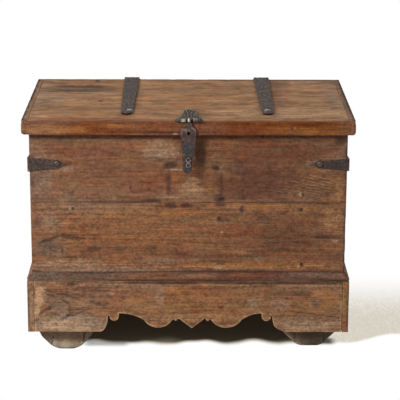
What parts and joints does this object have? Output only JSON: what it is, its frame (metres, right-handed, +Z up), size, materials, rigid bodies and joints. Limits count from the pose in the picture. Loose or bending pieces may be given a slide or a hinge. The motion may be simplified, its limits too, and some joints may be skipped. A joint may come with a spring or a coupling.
{
  "type": "wooden storage chest",
  "caption": "Low plank chest on plank wheels with a hinged lipped lid, iron strap hinges, corner straps, a swinging hasp and a scalloped front apron.",
  "frame": {"origin": "on the floor, under the middle of the chest's box", "axes": "+X to the right along the front, +Y from the front to the back, +Z up"},
  "size_m": [1, 0.6556, 0.7524],
  "materials": {
    "body_wood": "old worn hardwood, reddish brown",
    "lid_wood": "old worn hardwood, tan brown",
    "plinth_wood": "old worn hardwood, orange brown",
    "inner_wood": "bare wood",
    "wheel_wood": "dusty bare wood",
    "iron": "hand-forged, dark and pitted",
    "bright_iron": "worn bright"
  },
  "bodies": {
    "chest": {"front_lower_plank": "body_wood", "front_upper_plank": "body_wood", "back_lower_plank": "body_wood", "back_upper_plank": "body_wood", "left_lower_plank": "body_wood", "left_upper_plank": "body_wood", "right_lower_plank": "body_wood", "right_upper_plank": "body_wood", "bottom_board_1": "inner_wood", "bottom_board_2": "inner_wood", "bottom_board_3": "inner_wood", "bottom_board_4": "inner_wood", "front_cleat_left": "inner_wood", "front_cleat_right": "inner_wood", "front_apron": "plinth_wood", "back_apron": "plinth_wood", "left_apron": "plinth_wood", "right_apron": "plinth_wood", "front_moulding": "plinth_wood", "left_moulding": "plinth_wood", "right_moulding": "plinth_wood", "left_axle": "wheel_wood", "right_axle": "wheel_wood", "left_bolster": "wheel_wood", "right_bolster": "wheel_wood", "front_left_linchpin": "iron", "front_right_linchpin": "iron", "back_left_linchpin": "iron", "back_right_linchpin": "iron", "left_corner_strap": "iron", "right_corner_strap": "iron", "left_corner_nail": "iron", "right_corner_nail": "iron", "left_hinge_leaf": "iron", "right_hinge_leaf": "iron", "left_hinge_pin": "iron", "right_hinge_pin": "iron"},
    "lid": {"front_lid_plank": "lid_wood", "middle_lid_plank": "lid_wood", "back_lid_plank": "lid_wood", "front_lid_rim": "lid_wood", "left_lid_rim": "lid_wood", "right_lid_rim": "lid_wood", "left_lid_batten": "inner_wood", "right_lid_batten": "inner_wood", "left_hinge_strap": "iron", "right_hinge_strap": "iron", "left_strap_nail": "iron", "right_strap_nail": "iron", "hasp_leaf": "iron", "hasp_pin": "bright_iron"},
    "hasp": {"hasp_strap": "iron", "hasp_staple": "iron"},
    "front_left_wheel": {"front_left_wheel": "wheel_wood"},
    "front_right_wheel": {"front_right_wheel": "wheel_wood"},
    "back_left_wheel": {"back_left_wheel": "wheel_wood"},
    "back_right_wheel": {"back_right_wheel": "wheel_wood"}
  },
  "joints": [
    {"name": "lid_hinge", "type": "hinge", "parent": "chest", "child": "lid", "pos_m": [0, 0.3199, 0.7375], "axis": [-1, 0, 0], "range_deg": [0, 105]},
    {"name": "hasp_hinge", "type": "hinge", "parent": "lid", "child": "hasp", "pos_m": [0, -0.3219, 0.7465], "axis": [-1, 0, 0], "range_deg": [-3, 250]},
    {"name": "front_left_wheel_spin", "type": "hinge", "parent": "chest", "child": "front_left_wheel", "pos_m": [-0.379, -0.2394, 0.087], "axis": [0, 1, 0], "continuous": true},
    {"name": "front_right_wheel_spin", "type": "hinge", "parent": "chest", "child": "front_right_wheel", "pos_m": [0.379, -0.2084, 0.087], "axis": [0, 1, 0], "continuous": true},
    {"name": "back_left_wheel_spin", "type": "hinge", "parent": "chest", "child": "back_left_wheel", "pos_m": [-0.379, 0.2426, 0.087], "axis": [0, 1, 0], "continuous": true},
    {"name": "back_right_wheel_spin", "type": "hinge", "parent": "chest", "child": "back_right_wheel", "pos_m": [0.379, 0.2426, 0.087], "axis": [0, 1, 0], "continuous": true}
  ]
}
